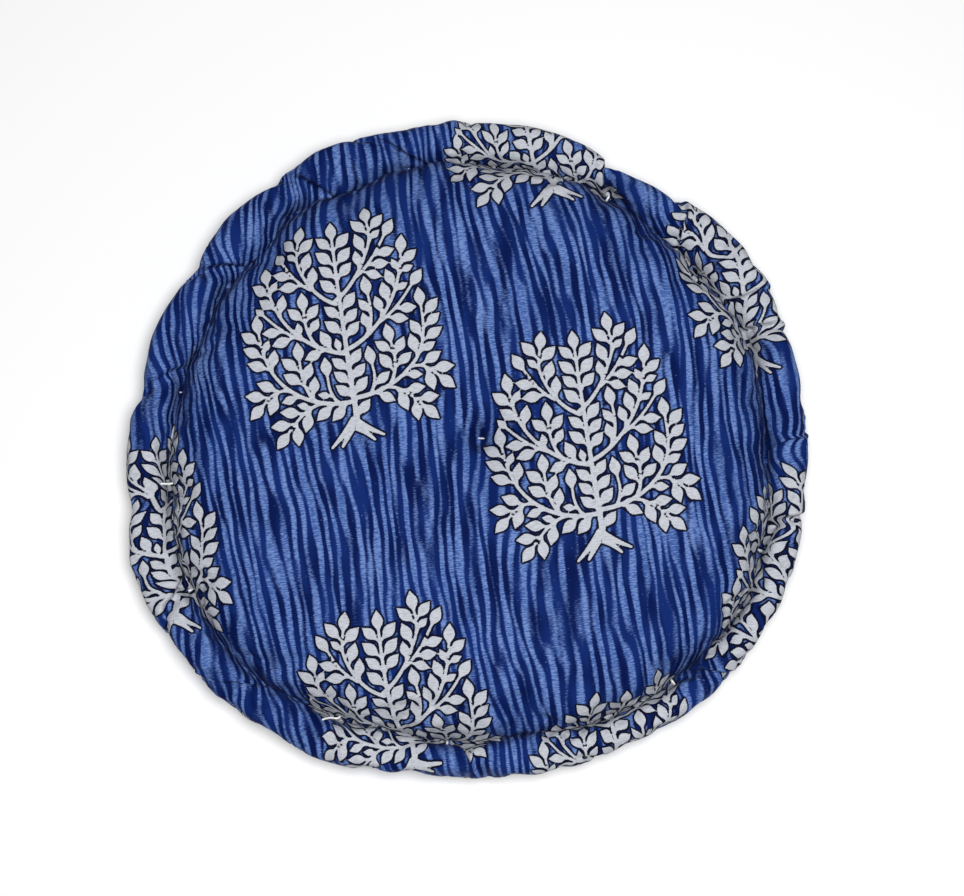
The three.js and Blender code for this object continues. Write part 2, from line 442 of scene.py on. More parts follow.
def swell(points, faces):
    """Runs the cloth and returns how far each point moved, in millimetres."""
    scene = bpy.context.scene
    mesh = bpy.data.meshes.new("swelling")
    mesh.from_pydata((points * MM).tolist(), [], faces)
    bag = bpy.data.objects.new("swelling", mesh)
    scene.collection.objects.link(bag)
    held = bag.vertex_groups.new(name="held")
    for index, weight in enumerate(hold_weights(points)):
        held.add([index], float(weight), "REPLACE")
    cloth = bag.modifiers.new("Cloth", "CLOTH")
    settings = cloth.settings
    settings.quality = 6
    settings.mass = 0.15
    settings.tension_stiffness = settings.compression_stiffness = 12
    settings.shear_stiffness = 4
    settings.bending_stiffness = 0.25
    settings.use_pressure = True
    settings.uniform_pressure_force = SWELL_PRESSURE
    settings.vertex_group_mass = "held"
    settings.shrink_min = -SWELL_SLACK
    settings.effector_weights.gravity = 0
    cloth.collision_settings.use_collision = False
    cloth.point_cache.frame_end = SWELL_FRAMES
    for number in range(1, SWELL_FRAMES + 1):
        scene.frame_set(number)
    shown = bag.evaluated_get(bpy.context.evaluated_depsgraph_get()).to_mesh()
    moved = np.empty(len(points) * 3, np.float32)
    shown.vertices.foreach_get("co", moved)
    bpy.data.objects.remove(bag)
    bpy.data.meshes.remove(mesh)
    scene.frame_set(1)
    return moved.reshape(-1, 3) / MM - points


def capped(move):
    size = np.linalg.norm(move, axis=-1, keepdims=True)
    return move * SWELL_CAP * np.tanh(size / SWELL_CAP) / np.maximum(size, 1e-6)


# %% [markdown]
# The swelling was worked out on a coarse bag. To carry it to the fine sheets it is read with a curve
# through four neighbours each way, which leaves no facets.

# %% Carry the swelling to the fine sheets
def cubic_rows(values, places, closed):
    """Values along the first axis, read at broken places with a smooth curve."""
    base = np.floor(places).astype(int)
    t = (places - base).reshape((-1,) + (1,) * (values.ndim - 1))
    if closed:
        p = [values[(base + offset) % len(values)] for offset in (-1, 0, 1, 2)]
    else:
        p = [values[np.clip(base + offset, 0, len(values) - 1)] for offset in (-1, 0, 1, 2)]
    return p[1] + 0.5 * t * (p[2] - p[0] + t * (2 * p[0] - 5 * p[1] + 4 * p[2] - p[3]
                                                + t * (3 * (p[1] - p[2]) + p[3] - p[0])))


def refine(move):
    rows = cubic_rows(move, ANGLES / 360 * SWELL_ANGLES, closed=True)
    steps = np.linspace(0, SWELL_STEPS - 1, CLOTH_STEPS)
    return cubic_rows(rows.swapaxes(0, 1), steps, closed=False).swapaxes(0, 1)


def split_moves(move):
    """The moves of the bag's points, put back as one grid for each face."""
    rings = move[2:].reshape(-1, SWELL_ANGLES, 3)
    middle_top = np.repeat(move[None, 0:1], SWELL_ANGLES, 1)
    middle_low = np.repeat(move[None, 1:2], SWELL_ANGLES, 1)
    top = np.concatenate([middle_top, rings[: SWELL_STEPS - 1]])
    low = np.concatenate([middle_low, rings[SWELL_STEPS - 1:], rings[SWELL_STEPS - 2: SWELL_STEPS - 1]])
    return top.swapaxes(0, 1), low.swapaxes(0, 1)


bag_points, bag_faces = case_mesh(coarse(top_sheet), coarse(low_sheet))
bag_move = swell(bag_points, bag_faces) * (1 - hold_weights(bag_points))[:, None]
size = np.linalg.norm(bag_move, axis=1)
print("the bag has", len(bag_points), "points; they moved", round(float(size.mean()), 2),
      "mm on average and", round(float(size.max()), 2), "mm at most")
top_move, low_move = split_moves(capped(bag_move))
top_sheet = top_sheet + refine(top_move)
low_sheet = low_sheet + refine(low_move)

# %% [markdown]
# Where a stitch pulls, the cloth on both sides of the channel gathers into short folds that fan out
# from the thread. They are finer than the bag's grid, so they are drawn into the sheets: a few
# soft rays for each stitch, with the strength of its pull.

# %% Tension folds and the seam
RAY_TURNS = (-52, -24, 6, 33, 58)
RAY_REACH = 17.0
RAY_DEPTH = 0.13
RAY_WIDTH, RAY_SPREAD = 0.9, 0.09
SEAM_DEPTH = 0.9
SEAM_WIDTH = 1.5


def stitch_rays(distance, seed):
    """How deep the rays of all stitches are; distance is the cloth's way from the channel, signed."""
    chance = np.random.default_rng(seed)
    total = np.zeros(distance.shape)
    for row in STITCHES:
        along = np.radians(turn(ANGLES[:, None], row["angle"])) * row["channel"]
        for turned in RAY_TURNS:
            lean = math.radians(turned + chance.uniform(-9, 9))
            reach = RAY_REACH * chance.uniform(0.6, 1.4)
            forward = np.abs(distance) * math.cos(lean) + along * math.sin(lean)
            off = along * math.cos(lean) - np.abs(distance) * math.sin(lean)
            wide = RAY_WIDTH + RAY_SPREAD * np.maximum(forward, 0)
            fade = np.exp(-np.maximum(forward, 0) / reach) * (forward > -2)
            total += row["pull"] * RAY_DEPTH * bell(off, wide) * fade
    return total


def normals_of(sheet):
    """Unit normals of a sheet, from its neighbours; the first column is the one middle point."""
    around_step = np.roll(sheet, -1, 0) - np.roll(sheet, 1, 0)
    out_step = np.gradient(sheet, axis=1)
    around_step[:, 0] = around_step[:, 1]
    normal = np.cross(out_step, around_step)
    normal /= np.maximum(np.linalg.norm(normal, axis=2, keepdims=True), 1e-9)
    normal[:, 0] = normal[:, 1].mean(0)
    return normal / np.maximum(np.linalg.norm(normal, axis=2, keepdims=True), 1e-9)


def detail(sheet, sign, reach, seed):
    """Presses the rays and the seam into a sheet, along its own normals."""
    cloth = np.linspace(0, PANEL_RADIUS, CLOTH_STEPS)[None, :]
    distance = cloth - reach[:, None]
    puckers = 1 + waves(ANGLES, 0.5, (97, 141, 190, 233), 11)[:, None]
    seam = SEAM_DEPTH * np.exp(-(PANEL_RADIUS - cloth) / SEAM_WIDTH) * puckers
    depth = stitch_rays(distance, seed) + seam
    if sign < 0:
        depth = depth * (sheet[..., 2] > RESTING)
    return sheet - sign * normals_of(sheet) * depth[..., None]


top_sheet = detail(top_sheet, 1, channel_reach, 21)
low_sheet = detail(low_sheet, -1, low_reach, 22)
seam_line = (top_sheet[:, -1] + low_sheet[:, -1]) / 2
for sheet in (top_sheet, low_sheet):
    sheet[:, -1] = seam_line
    sheet[..., 2] = np.maximum(sheet[..., 2], 0)
top_normals = normals_of(top_sheet)
low_normals = -normals_of(low_sheet)
print("highest point of the cover:", round(float(top_sheet[..., 2].max()), 1), "mm")

# %% [markdown]
# ## The printed tree
# The cloth is block printed: a carved block stamps the same tree again and again. The block is charted
# here as a carver would lay it out. First the branches, a row for each, drawn once and mirrored, with
# a little sway so that the halves are not alike. Then leaves are set along every branch wherever a wall
# of bare ground stays between them, large ones first. Nothing is copied from a picture.

# %% Chart of the branches
TRUNK = {"from": (0, -1), "bend": (1.2, 50), "to": (0, 95), "wide": (2.6, 1.1)}
BRANCHES = table("from bend to wide", [
    (    (0, 11),   (-20, 11),   (-34, 26), (2.1, 1.5)),
    (  (-34, 26),   (-44, 36),   (-43, 54), (1.5, 1.0)),
    ((-14, 13.4),   (-23, 15),    (-33, 4), (1.5, 1.0)),
    ((-30, 22.5),   (-38, 27), (-45.5, 20), (1.4, 1.0)),
    ((-19, 15.3),   (-25, 23),   (-24, 36), (1.6, 1.0)),
    ( (-8, 11.8),   (-12, 17), (-11.5, 25), (1.4, 1.0)),
    (    (0, 37),   (-14, 41),   (-24, 55), (2.0, 1.4)),
    (  (-24, 55),   (-32, 66),   (-33, 81), (1.4, 1.0)),
    ((-19, 48.7),   (-28, 53),   (-37, 65), (1.3, 1.0)),
    (  (-12, 43), (-17.5, 50),   (-16, 62), (1.4, 1.0)),
    (    (0, 64),   (-10, 70), (-15.5, 85), (1.8, 1.2)),
    ((-15.5, 85), (-18.5, 91),   (-17, 99), (1.2, 1.0)),
    ((-11, 74.3), (-17.5, 79),   (-24, 91), (1.3, 1.0)),
])
ROOTS = table("from bend to wide", [
    (  (0, 3), (-4, -1.5),  (-13, -9.5), (4.4, 1.0)),
    ((-2, -1), (-4, -4.5), (-7.5, -9.5), (3.6, 1.0)),
    (  (0, 3),    (5, -1),   (14.5, -6), (4.4, 1.0)),
    ( (2, -1),    (5, -3),    (9.5, -8), (3.6, 1.0)),
])
POINT_KEYS = ("from", "bend", "to")
RIGHT_HIGHER = 1.6


def sway(x, y):
    """Shifts a point of the chart a little, so that nothing stands quite straight."""
    return (x + 1.8 * math.sin(y / 17 + x / 40 + 1) + 1.1 * math.sin(x / 13),
            y + 2.2 * math.sin(x / 19 + 0.6) + 1.0 * math.cos(y / 23 + x / 31))


def both_halves():
    rows = [dict(TRUNK)]
    for row in BRANCHES:
        for side in (1, -1):
            higher = RIGHT_HIGHER * (side < 0)
            rows.append({**row, **{key: (side * row[key][0], row[key][1] + higher) for key in POINT_KEYS}})
    return [{**row, **{key: sway(*row[key]) for key in POINT_KEYS}} for row in rows]


def branch_line(row):
    """Points about 2 mm apart along a branch's curve."""
    start, bend, end = (np.array(row[key], float) for key in POINT_KEYS)
    count = max(4, int(np.linalg.norm(bend - start) + np.linalg.norm(end - bend)) // 2)
    t = np.linspace(0, 1, count)[:, None]
    return (1 - t) ** 2 * start + 2 * t * (1 - t) * bend + t**2 * end


rows = both_halves()
lines = [branch_line(row) for row in rows]
print(len(rows), "branches")

# %% [markdown]
# Whether a leaf fits is asked of two rasters, half a millimetre fine. One holds the distance to the
# nearest branch, and the other the distance to the nearest leaf that is already set.

# %% Set the leaves
LEAF_SLIMNESS = 0.44
LEAF_GAP = 1.15
LEAF_LENGTHS = (12.4, 11.4, 10.6, 9.8, 9.0, 7.8)
LEAF_TURNS = (38, 44, 32, 52, 62)
LEAF_UNEVEN = 3
# How many of the lengths and turns each round may use, so the large leaves are set first
LEAF_ROUNDS = ((2, 3), (4, 4), (6, 5))
LEAF_SPACING = 5.0
LEAF_SEARCH = 1.0
TIP_OVERLAP = 0.6
TREE_HEART = np.array([0, 40])
FAR = 99.0
LEAF_CHECKS = np.array([0.24, 0.36, 0.5, 0.63, 0.76, 0.88, 0.99])
STALK_SHARE = 0.2
STALK_WIDE = 0.95
RASTER_STEP = 0.5
RASTER_LOW = np.array([-70.0, -25.0])
raster_y, raster_x = np.mgrid[0:290, 0:280] * RASTER_STEP
raster_x += RASTER_LOW[0]
raster_y += RASTER_LOW[1]


def leaf_half_width(share, length):
    """Half the width of the blade; between the branch and the blade there is a short stalk."""
    blade = np.clip((share - STALK_SHARE) / (1 - STALK_SHARE), 0, 1)
    return 0.5 * LEAF_SLIMNESS * length * np.sin(np.pi * blade**0.92) ** 1.15


def branch_rasters():
    """Distance to the nearest branch, which one it is, and the distance to the next nearest."""
    first = np.full(raster_x.shape, FAR)
    second = first.copy()
    owner = np.zeros(raster_x.shape, int)
    for number, row in enumerate(rows + ROOTS):
        line = branch_line(row)
        distance = np.full(raster_x.shape, FAR)
        for (x, y), half in zip(line, np.linspace(*row["wide"], len(line)) / 2):
            distance = np.minimum(distance, np.hypot(raster_x - x, raster_y - y) - half)
        closer = distance < first
        second = np.where(closer, first, np.minimum(second, distance))
        owner = np.where(closer, number, owner)
        first = np.minimum(first, distance)
    return first, second, owner


def read(raster, points):
    cell = ((points - RASTER_LOW) / RASTER_STEP + 0.5).astype(int)
    cell = np.clip(cell, 0, np.array(raster.shape)[::-1] - 1)
    return raster[cell[..., 1], cell[..., 0]]


def first_that_fits(rasters, leaf_raster, base, turns, lengths, own):
    """Tries every turn and length at one place, and returns the number of the first that fits."""
    first, second, owner = rasters
    heading = np.stack([np.cos(turns), np.sin(turns)], -1)
    points = base + LEAF_CHECKS[None, :, None] * lengths[:, None, None] * heading[:, None]
    half = leaf_half_width(LEAF_CHECKS[None, :], lengths[:, None])
    mine = read(owner, points) == own
    near, other = read(first, points), read(second, points)
    at_parent = np.array([1.0, 0.4] + [0.0] * (len(LEAF_CHECKS) - 2))
    fits = (np.where(mine, other, near) + at_parent - half > LEAF_GAP * 0.9).all(1)
    fits &= (read(leaf_raster, points) - half > LEAF_GAP).all(1)
    own_gap = np.where(mine, near, FAR) - half
    fits &= (own_gap[:, 4:] > LEAF_GAP * 0.8).all(1) & (own_gap[:, 2:4] > 0.2).all(1)
    found = np.flatnonzero(fits)
    return int(found[0]) if len(found) else None


def stamp_leaf(leaf_raster, base, turned, length):
    """Writes a new leaf into the raster of leaves."""
    share = np.linspace(0.05, 1, 14)
    spine = base + np.outer(share * length, [math.cos(turned), math.sin(turned)])
    for (x, y), half in zip(spine, leaf_half_width(share, length)):
        low = np.maximum(((np.array([x, y]) - 16 - RASTER_LOW) / RASTER_STEP).astype(int), 0)
        high = ((np.array([x, y]) + 16 - RASTER_LOW) / RASTER_STEP).astype(int)
        window = (slice(low[1], high[1]), slice(low[0], high[0]))
        distance = np.hypot(raster_x[window] - x, raster_y[window] - y) - half
        leaf_raster[window] = np.minimum(leaf_raster[window], distance)


def set_leaves():
    """One leaf at each tip where no branch goes on, then leaves along both sides of every branch."""
    chance = np.random.default_rng(4)
    rasters = branch_rasters()
    leaf_raster = np.full(raster_x.shape, FAR)
    leaves = []

    def place(base, turned, length):
        stamp_leaf(leaf_raster, base, turned, length)
        leaves.append((base, turned, length))

    carried_on = {row["from"] for row in rows}
    lengths = np.array(LEAF_LENGTHS)
    for own, (row, line) in enumerate(zip(rows, lines)):
        if row["to"] in carried_on:
            continue
        step = line[-1] - line[-2]
        turned = math.atan2(step[1], step[0])
        turns = np.full(len(lengths), turned)
        number = first_that_fits(rasters, leaf_raster, line[-1], turns, lengths, own)
        if number is not None:
            place(line[-1] - TIP_OVERLAP * step / np.linalg.norm(step), turned, lengths[number])
    order = sorted(range(len(rows)), key=lambda own: -np.linalg.norm(lines[own][-1] - TREE_HEART))
    for size_count, turn_count in LEAF_ROUNDS:
        size, bend = np.meshgrid(LEAF_LENGTHS[:size_count], LEAF_TURNS[:turn_count], indexing="ij")
        for own in order:
            line = lines[own]
            way = np.concatenate([[0], np.cumsum(np.linalg.norm(np.diff(line, axis=0), axis=1))])
            for side in (1, -1):
                at = way[-1] - LEAF_SEARCH
                while at > 2 * LEAF_SEARCH:
                    piece = min(np.searchsorted(way, at, side="right") - 1, len(line) - 2)
                    step = line[piece + 1] - line[piece]
                    base = line[piece] + step * (at - way[piece]) / np.linalg.norm(step)
                    uneven = chance.uniform(-LEAF_UNEVEN, LEAF_UNEVEN)
                    turns = math.atan2(step[1], step[0]) + np.radians(side * (bend.ravel() + uneven))
                    number = first_that_fits(rasters, leaf_raster, base, turns, size.ravel(), own)
                    if number is not None:
                        place(base, turns[number], size.ravel()[number])
                    at -= LEAF_SEARCH if number is None else LEAF_SPACING
    return leaves


leaves = set_leaves()
print("the block carries", len(leaves), "leaves")

# %% [markdown]
# ## The print as part of the mesh
# A picture could be wrapped on the cover, but it would blur close up. Instead the outlines of the
# leaves and branches become edges of the mesh itself, and every point carries one number: how far
# inside the print it lies, in millimetres, or how far outside if the number is below zero. The finish
# only has to ask where that number is above zero for the silver, and just below it for the dark rim.

# %% How deep a point lies in the print
FAR_OUTSIDE = -9.0


def to_segments(points, starts, ends):
    """Distance of each point to each segment, and how far along it the nearest place is."""
    line = ends - starts
    reach = points[:, None] - starts[None]
    share = np.clip((reach * line).sum(2) / np.maximum((line**2).sum(1), 1e-12), 0, 1)
    return np.linalg.norm(reach - share[..., None] * line, axis=2), share, reach, line


def leaf_outline(base, turned, length, count=9):
    """Points round a leaf's blade, from its stalk to its tip and back."""
    share = np.linspace(STALK_SHARE, 1, count)
    half = leaf_half_width(share, length)
    half[0], half[-1] = STALK_WIDE / 2, 0
    heading = np.array([math.cos(turned), math.sin(turned)])
    across = np.array([-heading[1], heading[0]])
    spine = base + np.outer(share * length, heading)
    return np.concatenate([spine + np.outer(half, across), (spine - np.outer(half, across))[::-1][1:]])


def depth_in_leaf(points, outline):
    """Above 0 inside the outline: there a line to the right crosses it an odd number of times."""
    distance, _, reach, line = to_segments(points, outline, np.roll(outline, -1, 0))
    starts_above, ends_above = reach[..., 1] < 0, reach[..., 1] < line[:, 1]
    to_the_right = (line[:, 0] * reach[..., 1] > line[:, 1] * reach[..., 0]) == ends_above
    inside = ((starts_above != ends_above) & to_the_right).sum(1) % 2 == 1
    return np.where(inside, distance.min(1), -distance.min(1))


def depth_in_branch(points, line, wide):
    half = np.linspace(*wide, len(line)) / 2
    distance, share, _, _ = to_segments(points, line[:-1], line[1:])
    return (half[:-1] + (half[1:] - half[:-1]) * share - distance).max(1)


def stalk_line(base, turned, length):
    """From the branch to a little way into the blade."""
    ends = np.array([0.02, 0.16, 0.3]) * length
    return base + np.outer(ends, [math.cos(turned), math.sin(turned)])


outlines = [leaf_outline(*leaf) for leaf in leaves]
stems = [(line, row["wide"]) for row, line in zip(rows, lines)]
stems += [(branch_line(row), row["wide"]) for row in ROOTS]
stems += [(stalk_line(*leaf), (STALK_WIDE, STALK_WIDE)) for leaf in leaves]


def depth_in_tree(points):
    depth = np.full(len(points), FAR_OUTSIDE)
    for line, wide in stems:
        near = np.flatnonzero((np.abs(points - line.mean(0)) < np.ptp(line, axis=0) / 2 + 12).all(1))
        if len(near):
            depth[near] = np.maximum(depth[near], depth_in_branch(points[near], line, wide))
    for outline in outlines:
        near = np.flatnonzero((np.abs(points - outline.mean(0)) < 15).all(1))
        if len(near):
            depth[near] = np.maximum(depth[near], depth_in_leaf(points[near], outline))
    return depth


# %% [markdown]
# The points of one stamp. The outlines and the spines of leaves and branches come first. Between two
# leaves the ground is only a narrow strip, so the middle of every strip gets points as well, or the
# net would bridge it. Last come two rows outside the outlines, which carry the dark rim.

# %% Points of one stamp
FIELD_STEP = 0.25
STRIP_DEPTHS = (-2.0, -0.2)
STRIP_SLOPE = 0.72
RIM_STEPS = (0.8, 1.9)


def beside(points, closed):
    """Unit vectors to the left of a line at each of its points."""
    if closed:
        step = np.roll(points, -1, 0) - np.roll(points, 1, 0)
    else:
        step = np.gradient(points, axis=0)
    step /= np.maximum(np.linalg.norm(step, axis=1, keepdims=True), 1e-9)
    return np.stack([-step[:, 1], step[:, 0]], 1)


def drawn_points():
    """The spines, and the parts of the outlines that nothing covers."""
    edge, spines = list(outlines), []
    for base, turned, length in leaves:
        heading = np.array([math.cos(turned), math.sin(turned)])
        spines.append(base + np.outer(np.array([0.05, 0.14, 0.25, 0.45, 0.65, 0.83]) * length, heading))
    for line, wide in stems:
        half = np.linspace(*wide, len(line))[:, None] / 2
        spines.append(line)
        edge += [line + side * half * beside(line, closed=False) for side in (1, -1)]
    edge = np.concatenate(edge)
    return np.concatenate(spines), edge[depth_in_tree(edge) < 0.05]


def field_points():
    """The middles of the narrow strips and the rows of the rim, found in a fine field of depths."""
    x, y = np.meshgrid(np.arange(-64, 64, FIELD_STEP), np.arange(-20, 124, FIELD_STEP))
    depth = depth_in_tree(np.column_stack([x.ravel(), y.ravel()])).reshape(x.shape)
    slope = np.hypot(*np.gradient(depth, FIELD_STEP))
    parts = [(depth > STRIP_DEPTHS[0]) & (depth < STRIP_DEPTHS[1]) & (slope < STRIP_SLOPE)]
    parts += [np.abs(depth + step) < FIELD_STEP / 2 for step in RIM_STEPS]
    return [np.column_stack([x[part], y[part]]) for part in parts]


class Crowd:
    """Points taken one batch after another, each batch keeping clear of the earlier ones."""

    CELL = 0.25

    def __init__(self, reach):
        self.low = -reach - 10
        count = int(2 * (reach + 10) / self.CELL)
        self.taken = np.zeros((count, count), bool)
        self.points = []

    def cells(self, points):
        return np.clip(((points - self.low) / self.CELL).astype(int), 0, len(self.taken) - 1)

    def add(self, points, clear):
        """Adds the points that have nothing within the clear distance, and marks their cells."""
        reach = int(round(clear / self.CELL))
        for point, (i, j) in zip(points, self.cells(points)):
            window = self.taken[max(i - reach, 0):i + reach + 1, max(j - reach, 0):j + reach + 1]
            if not window.any():
                self.taken[i, j] = True
                self.points.append(point)


# %% [markdown]
# The stamps stand in columns, every second column half a step off, and the whole print leans
# 8 degrees on this cushion. The printer's hand is never even, so each stamp of the top has a row of
# its own: the place of its roots on the flat cloth. The underside is cut from the same cloth.

# %% Where the stamps fall
STAMP_DROP = 184.0
STAMP_COLUMN = 118.0
STAMP_CENTRE = np.array([0.0, 50.0])
STAMP_REACH = 84.0
STAMP_HALF = 62.0
PRINT_LEAN = math.radians(8)
TOP_STAMPS = table("x y", [
    (   -57,    5.5),
    (  67.3,    -52),
    (  44.4,  132.7),
    ( -31.7, -194.7),
    (-170.3, -104.4),
    ( 169.4,   48.6),
    (   190,   -129),
    (    96,   -236),
])
LOW_ROOT = np.array([20.0, -75.0])
LEAN = np.array([[math.cos(PRINT_LEAN), -math.sin(PRINT_LEAN)],
                 [math.sin(PRINT_LEAN), math.cos(PRINT_LEAN)]])


def low_stamps():
    """Roots of all stamps that touch the underside, on the flat cloth."""
    places = []
    for number in range(-3, 4):
        for drop in range(-2, 3):
            shift = np.array([number * STAMP_COLUMN, (drop + 0.5 * (number % 2)) * STAMP_DROP])
            root = LOW_ROOT + LEAN @ shift
            if np.linalg.norm(root + LEAN @ STAMP_CENTRE) < PANEL_RADIUS + STAMP_HALF:
                places.append(root)
    return places


def on_block(points, root):
    """Points of the flat cloth in the block's own upright frame."""
    return (points - root) @ LEAN


def print_depth(points, places):
    depth = np.full(len(points), FAR_OUTSIDE)
    for root in places:
        near = np.flatnonzero(np.linalg.norm(on_block(points, root) - STAMP_CENTRE, axis=1) < STAMP_REACH)
        if len(near):
            depth[near] = np.maximum(depth[near], depth_in_tree(on_block(points[near], root)))
    return depth


# How clear of earlier points each batch keeps: spines, outlines, strips, and the two rows of the rim
CLEARS = (0.25, 0.25, 0.5, 1.25, 1.5)
block = Crowd(STAMP_REACH + 40)
for batch, clear in zip([*drawn_points(), *field_points()], CLEARS):
    block.add(batch, clear)
block_points = np.array(block.points)
print("one stamp has", len(block_points), "points")

# %% [markdown]
# Each panel's mesh is the Delaunay net over the seam, the channel, the stamps and an even ground of
# points between them. The net is made flat and then lifted onto its sheet.

# %% The net of one panel
SEAM_POINTS = 720
CHANNEL_POINTS = 480
TOP_GROUND = {"crown": 3.0, "edge": 2.0}
LOW_GROUND = {"crown": 8.0, "edge": 5.0}
EDGE_SHARE = 0.66
SEAM_ROWS = (0.9, 2.0, 3.6)
CHANNEL_ROWS = (-0.45, 0.45, -1.4, 1.4, -2.6, 2.6, -4.4, 4.4)
FOLD_ROWS = (-0.4, 0.4, -1.2, 1.2, -2.4, 2.4)


def ring(radius, count, offset=0.0):
    """A ring of points whose radius may change around it."""
    angles = (np.arange(count) + offset) * 360 / count
    if np.ndim(radius):
        radius = np.interp(angles, ANGLES, radius, period=360)
    return placed(angles, radius, 0 * angles)[:, :2]


def fold_points(offset):
    """Points beside every fold of the roll, from the channel to the seam, on the flat top panel."""
    share = np.linspace(0.04, 0.9, 26)
    points = []
    for fold in FOLDS:
        angle = fold["from"] + (fold["to"] - fold["from"]) * share
        row = (angle / 360 * ANGLE_STEPS).round().astype(int) % ANGLE_STEPS
        step = IN_CHANNEL + (2 * SEAM_SHARE[row] * share * len(ROLL_STEPS)).round().astype(int)
        radius = top_cloth[row, np.minimum(step, top_cloth.shape[1] - 1)]
        points.append(placed(angle + np.degrees(offset / radius), radius, 0 * radius)[:, :2])
    return np.concatenate(points)


def hexagons(spacing, inner, outer):
    """An even ground of points between two radii."""
    count = int(outer / spacing / 0.866) + 2
    j, i = np.mgrid[-count:count + 1, -count:count + 1]
    points = np.stack([(i + 0.5 * (j % 2)) * spacing, j * spacing * 0.866], -1).reshape(-1, 2)
    points += np.random.default_rng(8).uniform(-0.12, 0.12, points.shape) * spacing
    radius = np.hypot(points[:, 0], points[:, 1])
    return points[(radius >= inner) & (radius < outer)]


def panel_net(places, reach, ground, channel_rows, fold_rows=()):
    """Points and triangles of a flat panel, and how deep each point lies in the print."""
    crowd = Crowd(PANEL_RADIUS)
    crowd.add(ring(PANEL_RADIUS, SEAM_POINTS), 0.0)
    for number, row in enumerate(SEAM_ROWS):
        count = SEAM_POINTS // (1 + number // 2)
        crowd.add(ring(PANEL_RADIUS - row, count, 0.5 * (number % 2 == 0)), 0.0)
    inside = PANEL_RADIUS - SEAM_ROWS[-1] - 0.8
    for root in places:
        points = block_points @ LEAN.T + root
        crowd.add(points[np.hypot(points[:, 0], points[:, 1]) < inside], 0.0)
    for offset in fold_rows:
        crowd.add(fold_points(offset), 0.25)
    for row in channel_rows:
        crowd.add(ring(reach + row, CHANNEL_POINTS, 0.5 * (row > 0)), 0.5)
    crowd.add(hexagons(1.3, 0, 13) + [TUFT["x"], TUFT["y"]], 0.8)
    crowd.add(hexagons(ground["edge"], PANEL_RADIUS * EDGE_SHARE, inside - 0.5), 1.5)
    crowd.add(hexagons(ground["crown"], 0, PANEL_RADIUS * EDGE_SHARE), 2.0)
    points = [Vector(point) for point in crowd.points]
    flat, _, triangles, *_ = delaunay_2d_cdt(points, [], [], 0, 1e-6)
    flat = np.array([tuple(point) for point in flat])
    return flat, np.array(triangles, int), print_depth(flat, places)


def lift(sheet, flat):
    """Reads a sheet at points of the flat cloth."""
    across = np.degrees(np.arctan2(flat[:, 1], flat[:, 0])) % 360 / 360 * ANGLE_STEPS
    out = np.minimum(np.hypot(flat[:, 0], flat[:, 1]) / PANEL_RADIUS, 1) * (CLOTH_STEPS - 1)
    i = np.floor(across).astype(int)
    j = np.minimum(np.floor(out).astype(int), CLOTH_STEPS - 2)
    s, t = (across - i)[:, None], (out - j)[:, None]
    i, next_i = i % ANGLE_STEPS, (i + 1) % ANGLE_STEPS
    return ((1 - s) * ((1 - t) * sheet[i, j] + t * sheet[i, j + 1])
            + s * ((1 - t) * sheet[next_i, j] + t * sheet[next_i, j + 1]))


top_roots = [np.array([row["x"], row["y"]], float) for row in TOP_STAMPS]
top_flat, top_faces, top_depth = panel_net(top_roots, channel_reach, TOP_GROUND, CHANNEL_ROWS, FOLD_ROWS)
print("top panel:", len(top_flat), "points,", len(top_faces), "triangles")
low_flat, low_faces, low_depth = panel_net(low_stamps(), low_reach, LOW_GROUND, CHANNEL_ROWS[:4])
print("bottom panel:", len(low_flat), "points,", len(low_faces), "triangles")

# %% [markdown]
# Sewing the two nets together: the bottom panel's outermost ring is dropped and its triangles use the
# top panel's seam points instead, so the cover is one closed skin. The smooth sheet also gives each
# point its normal, which keeps the shading free of the net's uneven triangles.

# %% Sew the cover
def seam_match(top_points, low_points):
    """For each point of the bottom panel, its number in the sewn cover."""
    def seam_number(x, y):
        return round(math.degrees(math.atan2(y, x)) % 360 * SEAM_POINTS / 360) % SEAM_POINTS

    rim = np.flatnonzero(np.hypot(*top_points.T) > PANEL_RADIUS - 1e-3)
    top_turn = {seam_number(*top_points[k]): k for k in rim}
    numbers = np.empty(len(low_points), int)
    extra = []
    for k, (x, y) in enumerate(low_points):
        if math.hypot(x, y) > PANEL_RADIUS - 1e-3:
            numbers[k] = top_turn[seam_number(x, y)]
        else:
            numbers[k] = len(top_points) + len(extra)
            extra.append(k)
    return numbers, np.array(extra)


def facing(triangles, flat, up):
    a, b, c = (flat[triangles[:, k]] for k in range(3))
    area = np.cross(b - a, c - a)
    triangles = triangles[np.abs(area) > 1e-9]
    area = area[np.abs(area) > 1e-9]
    wrong = (area > 0) != up
    triangles[wrong] = triangles[wrong][:, ::-1]
    return triangles


# The bottom panel is cut from another stretch of the cloth, so its stripes are others
LOW_CLOTH_SHIFT = 500
numbers, extra = seam_match(top_flat, low_flat)
points = np.concatenate([lift(top_sheet, top_flat), lift(low_sheet, low_flat)[extra]])
normals = np.concatenate([lift(top_normals, top_flat), lift(low_normals, low_flat)[extra]])
depths = np.concatenate([top_depth, low_depth[extra]])
cloth_places = np.concatenate([top_flat, low_flat[extra] + LOW_CLOTH_SHIFT])
triangles = np.concatenate([facing(top_faces, top_flat, True), numbers[facing(low_faces, low_flat, False)]])

cover_mesh = bpy.data.meshes.new("cover")
cover_mesh.from_pydata((points * MM).tolist(), [], triangles.tolist())
cover_mesh.update()
print("cover:", len(points), "points,", len(triangles), "triangles")
edges = np.sort(np.concatenate([triangles[:, [0, 1]], triangles[:, [1, 2]], triangles[:, [2, 0]]]), 1)
print("every edge has two faces:", bool((np.unique(edges, axis=0, return_counts=True)[1] == 2).all()))

# %% [markdown]
# Two things are written on the points for the finish: the depth in the print, and the place on the
# flat cloth, turned so that its second number runs along the warp.

